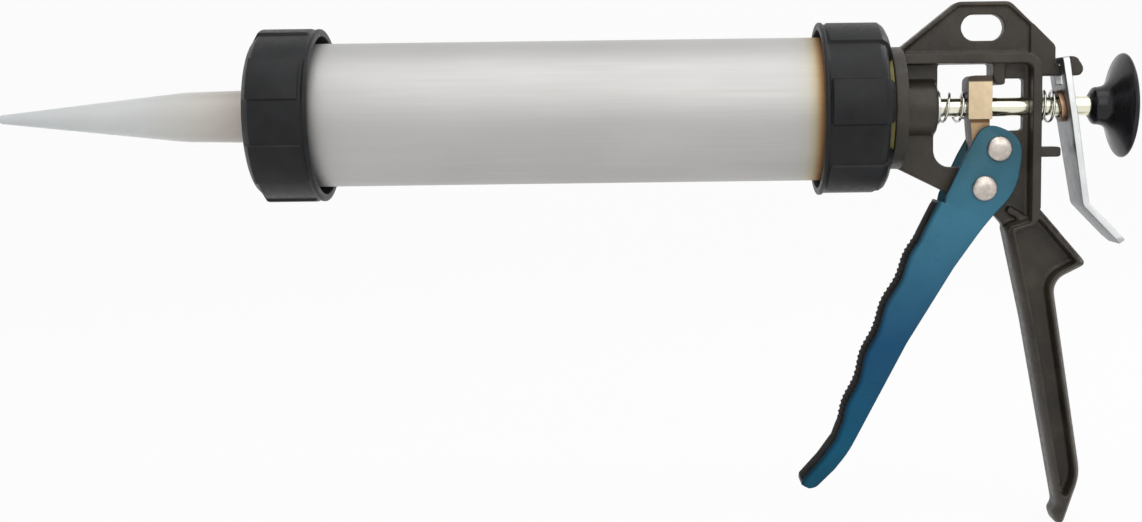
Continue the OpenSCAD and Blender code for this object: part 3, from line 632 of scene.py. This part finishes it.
top_z = max(z for x, z in lever_edge)
stations = [-top_z + 0.03] + [-top_z + 7 * (1 - math.cos(math.radians(6 * k))) for k in range(1, 15)]
stations += [stations[-1] + 0.9 * k for k in range(1, 200) if stations[-1] + 0.9 * k < channel_top - 0.5]
stations += [channel_top - 0.4, channel_top] + [channel_top + 0.8 * k for k in range(1, 146)]
stations += [127, 127.4, 127.65]
work = bmesh.new()
cheeks = {-1: [], 1: []}
outside, inside = [], []
for down in stations:
    channel = down >= channel_top
    rear = edge_at(down, True)
    front = channel_at(down) + bend_r / MM if channel else edge_at(down, False)
    soft = rim_r / MM
    bent = 0 if channel else min(soft, 0.3 * (rear - front))
    soft = min(soft, 0.3 * (rear - front))
    for side in (-1, 1):
        o, i = side * half_w, side * (half_w - sheet)
        ring = [(rear - soft, o), (rear, o - side * rim_r), (rear, i + side * rim_r), (rear - soft, i),
                (front + bent, i), (front, i + side * bent * MM), (front, o - side * bent * MM),
                (front + bent, o)]
        cheeks[side].append([work.verts.new(on_lever(x, y, down)) for x, y in ring])
    if channel:
        for rows, radius in ((outside, bend_r), (inside, bend_r - sheet)):
            arc = [(front - radius / MM * math.sin(math.radians(a)),
                    half_w - bend_r + radius * math.cos(math.radians(a))) for a in range(0, 91, 15)]
            rows.append([work.verts.new(on_lever(x, -y, down)) for x, y in arc] +
                        [work.verts.new(on_lever(x, y, down)) for x, y in reversed(arc)])
for rings in cheeks.values():
    for a, b, down in zip(rings, rings[1:], stations):
        for k in range(8):
            if not (down >= channel_top and k in (4, 5, 6)):
                work.faces.new([a[k], a[(k + 1) % 8], b[(k + 1) % 8], b[k]])
    work.faces.new(rings[0])
    work.faces.new(rings[-1])
for rows in (outside, inside):
    for a, b in zip(rows, rows[1:]):
        for k in range(len(a) - 1):
            work.faces.new([a[k], a[k + 1], b[k + 1], b[k]])
for a, b in ((outside[0], inside[0]), (outside[-1], inside[-1])):
    for k in range(len(a) - 1):
        work.faces.new([a[k], a[k + 1], b[k + 1], b[k]])
bmesh.ops.remove_doubles(work, verts=work.verts, dist=1e-7)
bmesh.ops.dissolve_degenerate(work, edges=work.edges, dist=1e-7)
bmesh.ops.recalc_face_normals(work, faces=work.faces)
lever = meshed("trigger_channel", work, 50)
enamel, shader, nodes, links, place = finish("blue_enamel", 0, 0.3, (0.02, 0.1, 0.17))
# Painted light and shade: the blue is darkest low on the lever, lightest high on it and a little darker
# again at its top.
depth = along(nodes, links, place, "Z", -0.15, -0.01)
blue_with_painted_light = ramp(nodes, links, depth, [(0.05, (0.002, 0.075, 0.13)), (0.2, (0.003, 0.105, 0.2)),
                                  (0.45, (0.008, 0.085, 0.19)), (0.78, (0.055, 0.22, 0.33)),
                                  (0.95, (0.045, 0.15, 0.2))])
cloud = ramp(nodes, links, grain(nodes, links, place, 0.012, detail=5), [(0.3, 0.86), (0.7, 1.0)])
flatness = facing(nodes, links, "Y")
# Painted shade: every face that does not look sideways, the bend, the channel's front and the sheet's cut
# edges, goes dark grey.
painted_bend_shade = ramp(nodes, links, flatness, [(0.15, (0.22, 0.24, 0.26)), (0.97, (1, 1, 1))])
links.new(times(nodes, links, blue_with_painted_light, cloud, painted_bend_shade), shader.inputs["Base Color"])
links.new(ramp(nodes, links, flatness, [(0.3, 0.02), (0.97, 0.18)]), shader.inputs["Specular IOR Level"])
mottled(nodes, links, place, shader.inputs["Roughness"], 0.003, 0.26, 0.38)
bump(nodes, links, shader, grain(nodes, links, place, 0.0008, detail=2), 0.000012)
wear(lever, enamel)
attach(lever, "trigger")
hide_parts("trigger_lever")

# Grip pad: a strip of soft dark plastic moulded on the front of the channel.
# Fine cross ribs run over it where the fingers lie.

pad_half = 5.1 * MM
pad_top, pad_bottom = channel_top + 0.5, 127
ribs_from, ribs_to = 25, 101
rib_pitch = 2.0
work = bmesh.new()
rows = []
down = channel_top + 0.9
while down < 126.4:
    fade = min(1, max(0, (down - ribs_from) / 2)) * min(1, max(0, (ribs_to - down) / 2))
    rib = 0.42 * fade * max(0, math.cos(2 * math.pi * down / rib_pitch)) ** 0.7
    front = channel_at(down)
    ends = min(1, (down - pad_top) / 1.5, (pad_bottom - down) / 1.5)
    high_at = front - (0.55 + rib) * ends
    row = [(front + 0.3, pad_half), (front - 0.1, pad_half),
           (front - (0.3 + 0.5 * rib) * ends, pad_half - 0.35 * MM),
           (high_at, pad_half - 1.1 * MM), (high_at, 0)]
    row += [(x, -y) for x, y in reversed(row[:-1])]
    rows.append([work.verts.new(on_lever(x, -y, down)) for x, y in row])
    down += rib_pitch / 8
for a, b in zip(rows, rows[1:]):
    for k in range(len(a)):
        work.faces.new([a[k - 1], a[k], b[k], b[k - 1]])
work.faces.new(rows[0])
work.faces.new(rows[-1])
bmesh.ops.recalc_face_normals(work, faces=work.faces)
pad = meshed("grip_pad", work, 50)
ribbed, shader, nodes, links, place = finish("grip_plastic", 0, 0.7, (0.02, 0.02, 0.021))
mottled(nodes, links, place, shader.inputs["Base Color"], 0.004,
        (0.014, 0.014, 0.014), (0.024, 0.024, 0.0235))
shader.inputs["Specular IOR Level"].default_value = 0.04
bump(nodes, links, shader, grain(nodes, links, place, 0.0005), 0.00004)
wear(pad, ribbed)
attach(pad, "trigger")
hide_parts("trigger_grip")

# Rivets: nickel-plated steel with domed heads, closed on the outside of both cheeks.
# The lower one is the trigger's pivot, and the upper one pushes the drive block.


def rivet(name, node, middle_r, arcs=12):
    """A closed rivet across the part: a shank, thicker between the cheeks, with two domed heads."""
    low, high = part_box(node)
    head_r = (high.x - low.x) / 2
    shank_r = 3 * MM
    face = high.y - 2.2 * MM
    edge = face + 0.25 * MM
    inner = face - 1.8 * MM
    dome = [(face, shank_r), (face, head_r - 0.15 * MM), (edge, head_r)]
    for k in range(1, arcs + 1):
        a = math.radians(90 * k / arcs)
        dome.append((edge + 1.95 * MM * math.sin(a), head_r * math.cos(a) ** 0.8 if k < arcs else 0))
    side = [(inner, shank_r), (inner, middle_r)]
    outline = [(-x, r) for x, r in reversed(dome)] + [(-x, r) for x, r in reversed(side)] + side + dome
    piece = turn(name, outline, 72)
    middle = Matrix.Translation(((low.x + high.x) / 2, 0, (low.z + high.z) / 2))
    piece.data.transform(middle @ Matrix.Rotation(math.radians(90), 4, "Z"))
    return piece


nickel, shader, nodes, links, place = finish("satin_nickel", 1, 0.3, (0.72, 0.67, 0.62))
mottled(nodes, links, place, shader.inputs["Base Color"], 0.0025,
        (0.4, 0.35, 0.31), (0.62, 0.57, 0.52), detail=5)
mottled(nodes, links, place, shader.inputs["Roughness"], 0.0009, 0.26, 0.42)
bump(nodes, links, shader, grain(nodes, links, place, 0.0006), 0.00002)
for name, node, middle_r in (("pivot_rivet_head", "pivot_rivet", 3 * MM),
                             ("drive_rivet_head", "drive_rivet", 3.5 * MM)):
    piece = rivet(name, node, middle_r)
    wear(piece, nickel)
    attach(piece, "trigger")
    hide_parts(node)

# ---------------------------------------------------------------------------
# Drive block: a thick block of zinc on the rod, yellow passivated, pushed by the trigger's upper rivet.
# Painted shade turns its edges, its top and all its faces but the two broad sides near black.

block = softened("drive_block_zinc", "drive_block", 0.3 * MM)
tan, shader, nodes, links, place = finish("yellow_passivated_zinc", 0.3, 0.42, (0.8, 0.62, 0.4))
# Painted shade: every face but the two broad sides goes near black.
tan_with_painted_shade = ramp(nodes, links, facing(nodes, links, "Y"), [
    (0.5, (0.03, 0.024, 0.02)), (0.92, (0.88, 0.69, 0.44))])
mottle = ramp(nodes, links, grain(nodes, links, place, 0.004, detail=5), [(0.3, 0.8), (0.7, 1.0)])
# Painted shade: a band along the block's top goes near black.
near_top = along(nodes, links, place, "Z", 8.8 * MM, 9.8 * MM)
painted_top_shade = ramp(nodes, links, near_top, [(0.2, (1, 1, 1)), (0.75, (0.06, 0.05, 0.042))])
# Painted shadow: a dark brown band under the step to the tongue, with the tongue below in painted shade, a
# duller tan.
near_foot = along(nodes, links, place, "Z", -6.4 * MM, -4.2 * MM)
painted_step_shadow = ramp(nodes, links, near_foot, [(0.2, (0.66, 0.57, 0.48)), (0.45, (0.2, 0.12, 0.07)),
                                           (0.85, (0.2, 0.12, 0.07)), (1.0, (1, 1, 1))])
links.new(times(nodes, links, tan_with_painted_shade, mottle, painted_top_shade, painted_step_shadow), shader.inputs["Base Color"])
mottled(nodes, links, place, shader.inputs["Roughness"], 0.001, 0.34, 0.55)
wear(block, tan)
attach(block, "drive_block")
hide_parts("drive_block")

# ---------------------------------------------------------------------------
# Release plate: a thumb lever pressed from steel sheet and zinc plated.
# It hangs in the frame's notch, with the rod through its hole.

thumb_plate = softened("release_lever", "release_plate", 0.3 * MM)
plated, shader, nodes, links, place = finish("plated_sheet", 1, 0.4, (0.62, 0.63, 0.64))
brush = grain(nodes, links, place, 0.0006, (1, 1, 20), 5)
# Painted light and shade: faces that look sideways are painted bright as a highlight, and the broad faces
# and other edges dark grey as shade.
plate_painted_light_and_shade = ramp(nodes, links, facing(nodes, links, "Y"), [
    (0.5, (0.26, 0.27, 0.28)), (0.9, (0.74, 0.76, 0.75))])
cloud = ramp(nodes, links, grain(nodes, links, place, 0.006, detail=5), [(0.3, 0.86), (0.7, 1.0)])
links.new(times(nodes, links, plate_painted_light_and_shade, cloud), shader.inputs["Base Color"])
links.new(ramp(nodes, links, brush, [(0.3, 0.32), (0.7, 0.5)]), shader.inputs["Roughness"])
bump(nodes, links, shader, brush, 0.00001)
wear(thumb_plate, plated)
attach(thumb_plate, "release")
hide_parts("release_plate")

# Release washer: a flat ring of brown bronze on the rod.
# It lies between the release spring and the plate.

ring = softened("release_ring", "release_washer", 0.25 * MM)
bronze, shader, nodes, links, place = finish("brown_bronze", 1, 0.38, (0.4, 0.24, 0.15))
# Painted shade: the ring's flat faces, which look along the rod, go near black, and the rim keeps the
# bronze brown.
bronze_with_painted_shade = ramp(nodes, links, facing(nodes, links, "X"), [
    (0.5, (0.5, 0.31, 0.19)), (0.9, (0.08, 0.05, 0.035))])
cloud = ramp(nodes, links, grain(nodes, links, place, 0.002), [(0.3, 0.6), (0.7, 1.0)])
links.new(times(nodes, links, bronze_with_painted_shade, cloud), shader.inputs["Base Color"])
wear(ring, bronze)
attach(ring, "release")
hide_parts("release_washer")

# ---------------------------------------------------------------------------
# Springs: bright plated steel wire wound round the rod.
# One stands between the boss and the block, the other between the rear wall and the release plate.


def spring(name, node, turns, steps=40, sides=10):
    """A coil of wire that fills its solid's box, with the turns closer together at both ends."""
    low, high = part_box(node)
    wire_r = 0.5 * MM
    coil_r = (high.z - low.z) / 2 - wire_r
    start, length = low.x + wire_r, high.x - low.x - 2 * wire_r
    around = [2 * math.pi * k / sides for k in range(sides)]
    work = bmesh.new()
    hoops = []
    count = int(turns * steps)
    for i in range(count + 1):
        f = i / count
        a = 2 * math.pi * turns * f
        x = start + length * (f - 0.09 * math.sin(2 * math.pi * f))
        centre = Vector((x, coil_r * math.sin(a), coil_r * math.cos(a)))
        out = Vector((0, math.sin(a), math.cos(a)))
        ahead = Vector((length / count, coil_r * math.cos(a) * 2 * math.pi * turns / count,
                        -coil_r * math.sin(a) * 2 * math.pi * turns / count)).normalized()
        up = ahead.cross(out).normalized()
        hoops.append([work.verts.new(centre + wire_r * (out * math.cos(b) + up * math.sin(b)))
                      for b in around])
    for a, b in zip(hoops, hoops[1:]):
        for k in range(sides):
            work.faces.new([a[k], a[(k + 1) % sides], b[(k + 1) % sides], b[k]])
    work.faces.new(hoops[0])
    work.faces.new(hoops[-1][::-1])
    bmesh.ops.recalc_face_normals(work, faces=work.faces)
    return meshed(name, work, 60)


wire, shader, nodes, links, place = finish("spring_wire", 1, 0.2, (0.6, 0.59, 0.56))
mottled(nodes, links, place, shader.inputs["Roughness"], 0.001, 0.16, 0.32)
mottled(nodes, links, place, shader.inputs["Base Color"], 0.003, (0.5, 0.49, 0.47), (0.74, 0.73, 0.7))
for name, node, joint, keep in (("drive_coil", "drive_spring", "block_slide", 0.37),
                                ("release_coil", "release_spring", "release_tilt", 0.8)):
    coil = spring(name, node, 2.3)
    wear(coil, wire)
    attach(coil, "frame")
    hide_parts(node)
    low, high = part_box(node)
    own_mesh(coil)

# ---------------------------------------------------------------------------
# Stand: a sheet of pale paper that sweeps up from the floor to the backdrop.
# Three soft lamps light it, and the camera looks at the gun from its side.

floor_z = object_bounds()[0][2] - 0.0005
work = bmesh.new()
sweep_r, sweep_y, steps = 0.6, 0.9, 24
sweep = [(-2.5, floor_z)]
for k in range(steps + 1):
    a = math.radians(90 * k / steps)
    sweep.append((sweep_y + sweep_r * math.sin(a), floor_z + sweep_r - sweep_r * math.cos(a)))
sweep.append((1.5, floor_z + 3))
strips = [[work.verts.new((x, y, z)) for x in (-4, 4.5)] for y, z in sweep]
for a, b in zip(strips, strips[1:]):
    work.faces.new([a[0], a[1], b[1], b[0]])
floor = meshed("floor", work, 180)
paper, shader, nodes, links, place = finish("pale_paper", 0, 0.8, (0.86, 0.86, 0.86))
glow = nodes.new("ShaderNodeEmission")
glow.inputs["Color"].default_value = (1, 1, 1, 1)
glow.inputs["Strength"].default_value = 1


def seen_share(nodes, links, unseen, seen):
    """One value for camera, glossy and transmission rays, and another for the light itself."""
    path = nodes.new("ShaderNodeLightPath")
    value = path.outputs["Is Camera Ray"]
    for ray in ("Is Glossy Ray", "Is Transmission Ray"):
        either = nodes.new("ShaderNodeMath")
        either.operation = "MAXIMUM"
        links.new(value, either.inputs[0])
        links.new(path.outputs[ray], either.inputs[1])
        value = either.outputs["Value"]
    span = nodes.new("ShaderNodeMapRange")
    span.inputs["To Min"].default_value = unseen
    span.inputs["To Max"].default_value = seen
    links.new(value, span.inputs["Value"])
    return span.outputs["Result"]


both = nodes.new("ShaderNodeMixShader")
links.new(seen_share(nodes, links, 0, 0.94), both.inputs["Fac"])
links.new(shader.outputs["BSDF"], both.inputs[1])
links.new(glow.outputs["Emission"], both.inputs[2])
links.new(both.outputs["Shader"], nodes["Material Output"].inputs["Surface"])
wear(floor, paper)

world = bpy.data.worlds.new("studio")
bpy.context.scene.world = world
world.use_nodes = True
nodes, links = world.node_tree.nodes, world.node_tree.links
nodes["Background"].inputs["Color"].default_value = (0.98, 0.99, 1, 1)
links.new(seen_share(nodes, links, 0.35, 0.98), nodes["Background"].inputs["Strength"])

for name, at, aim, size, power, colour in (
        ("lamp_top", (0.3, -0.3, 0.95), (0.24, 0, 0), (1.3, 0.6), 3.4, (1, 1, 1)),
        ("lamp_front", (0.5, -1.15, 0.6), (0.22, 0, 0), (1.4, 1), 5.6, (1, 0.99, 0.97)),
        ("lamp_rear_right", (1.1, 0.4, 0.5), (0.36, 0, 0), (0.5, 0.8), 4, (1, 1, 1))):
    light = bpy.data.lights.new(name, "AREA")
    light.shape = "RECTANGLE"
    light.size, light.size_y = size
    light.energy = power
    light.color = colour
    lamp = bpy.data.objects.new(name, light)
    bpy.context.scene.collection.objects.link(lamp)
    lamp.location = at
    lamp.rotation_euler = (Vector(aim) - Vector(at)).to_track_quat("-Z", "Y").to_euler()

lens = bpy.data.cameras.new("camera")
lens.sensor_width = 36
lens.lens = 46.0245184
lens.shift_x = -0.0692
lens.shift_y = -0.00525
camera = bpy.data.objects.new("camera", lens)
bpy.context.scene.collection.objects.link(camera)
camera.location = (0.2389, -0.5416, -0.0011)
tilt, roll = math.radians(84.5), math.radians(-0.74)
camera.rotation_euler = (Matrix.Rotation(tilt, 3, "X") @ Matrix.Rotation(roll, 3, "Z")).to_euler()
bpy.context.scene.camera = camera
bpy.context.scene.view_settings.view_transform = "Standard"
